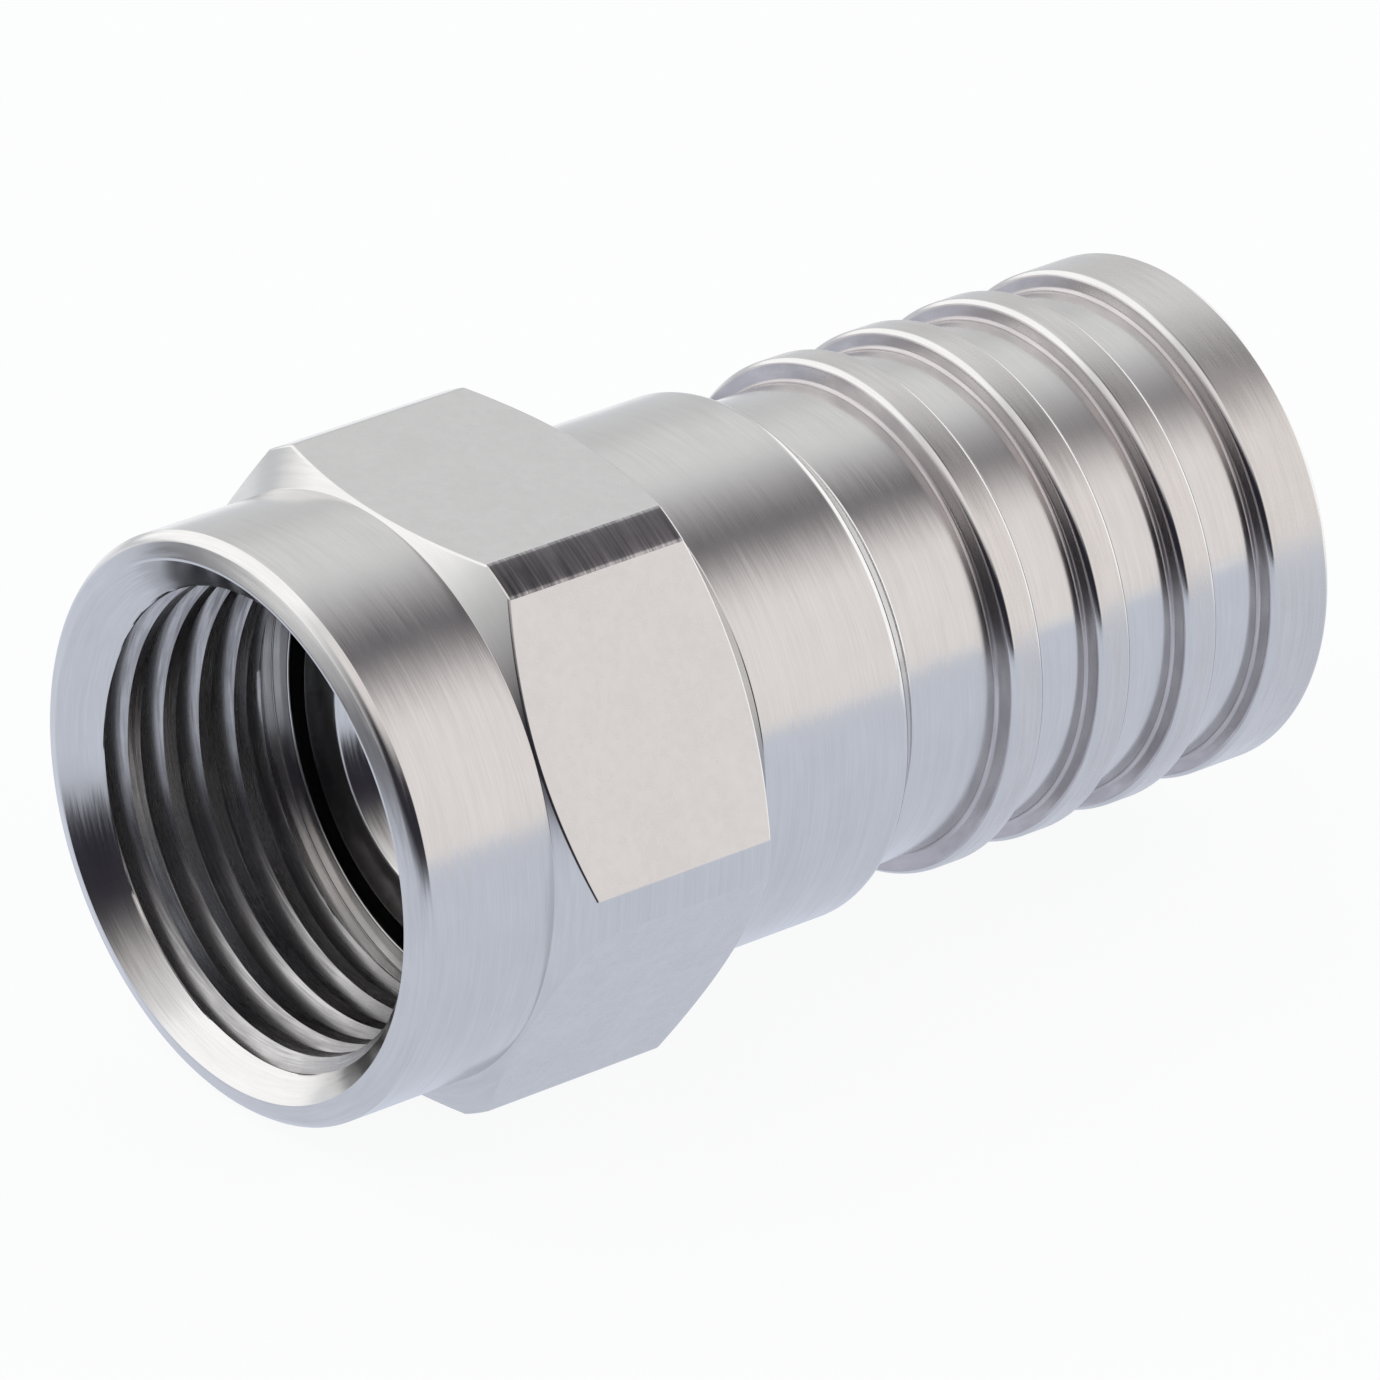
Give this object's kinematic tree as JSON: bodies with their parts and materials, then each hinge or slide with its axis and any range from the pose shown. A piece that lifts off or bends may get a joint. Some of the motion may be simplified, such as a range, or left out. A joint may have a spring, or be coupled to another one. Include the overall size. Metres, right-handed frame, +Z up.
{
  "type": "coaxial f connector plug",
  "caption": "Male coaxial F plug for crimping: a hexagon coupling nut with a round collar turns on a flanged tubular post, ahead of a ribbed crimp barrel.",
  "frame": {"origin": "on the common axis, in the plane of the coupling nut's front rim", "axes": "+Y along the axis towards the cable, -Y out of the nut's mouth, +Z up with one flat of the hexagon facing down"},
  "size_m": [0.0122, 0.0216, 0.011],
  "materials": {
    "nut_plating": "nickel plated, fine turning marks and milled flats",
    "post_plating": "nickel plated, turned",
    "body_plating": "nickel plated, fine turning marks"
  },
  "bodies": {
    "crimp_body": {"crimp_body": "body_plating", "inner_post": "post_plating"},
    "nut": {"coupling_nut": "nut_plating"}
  },
  "joints": [
    {"name": "nut_spin", "type": "hinge", "parent": "crimp_body", "child": "nut", "pos_m": [0, 0, 0], "axis": [0, 1, 0], "continuous": true}
  ]
}
